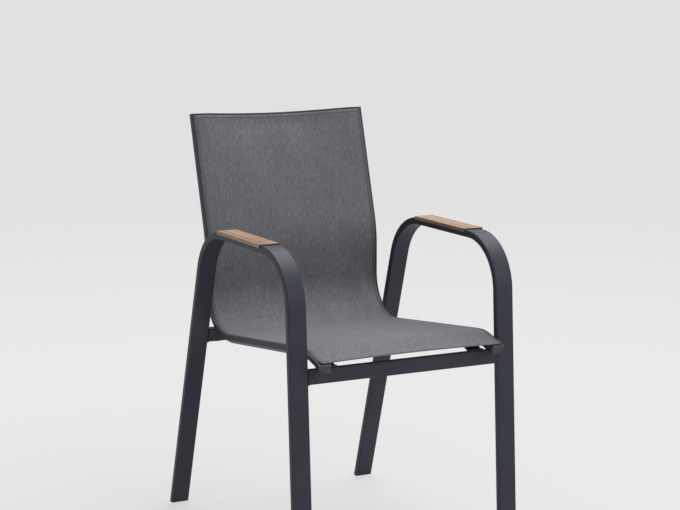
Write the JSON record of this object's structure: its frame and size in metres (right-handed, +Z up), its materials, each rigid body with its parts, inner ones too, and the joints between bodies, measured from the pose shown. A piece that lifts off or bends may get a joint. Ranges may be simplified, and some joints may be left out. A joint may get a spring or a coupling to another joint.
{
  "type": "sling patio chair",
  "caption": "Patio armchair with bent flat-tube side frames, grooved sling rails, a bowed top bar and a one-piece woven sling seat and back",
  "frame": {"origin": "on the floor, in the middle of the chair's outline", "axes": "+Z up, front of the seat towards -Y, +X to the right as seen from the front"},
  "size_m": [0.5146, 0.669, 0.88],
  "materials": {
    "frame": "dark grey powder coat",
    "sling": "woven coated yarn, mid grey",
    "arm_pad": "light wood-look, satin",
    "grey_plastic": "moulded, satin",
    "black_plastic": "moulded",
    "screws": "zinc plated"
  },
  "bodies": {
    "root": {"left_side_frame": "frame", "right_side_frame": "frame", "front_crossbeam": "frame", "rear_crossbeam": "frame", "left_sling_rail": "frame", "right_sling_rail": "frame", "back_top_bar": "frame", "left_front_rail_bracket": "frame", "right_front_rail_bracket": "frame", "left_rear_rail_saddle": "frame", "right_rear_rail_saddle": "frame", "sling": "sling", "left_side_spline": "black_plastic", "right_side_spline": "black_plastic", "top_spline": "black_plastic", "left_rail_end_cap": "grey_plastic", "right_rail_end_cap": "grey_plastic", "left_front_foot_glide": "black_plastic", "right_front_foot_glide": "black_plastic", "left_rear_foot_glide": "black_plastic", "right_rear_foot_glide": "black_plastic", "left_arm_pad": "arm_pad", "right_arm_pad": "arm_pad", "left_front_arm_pad_screw": "screws", "left_rear_arm_pad_screw": "screws", "right_front_arm_pad_screw": "screws", "right_rear_arm_pad_screw": "screws", "left_front_bracket_screw": "screws", "right_front_bracket_screw": "screws", "left_rear_saddle_bolt": "screws", "right_rear_saddle_bolt": "screws"}
  },
  "joints": []
}
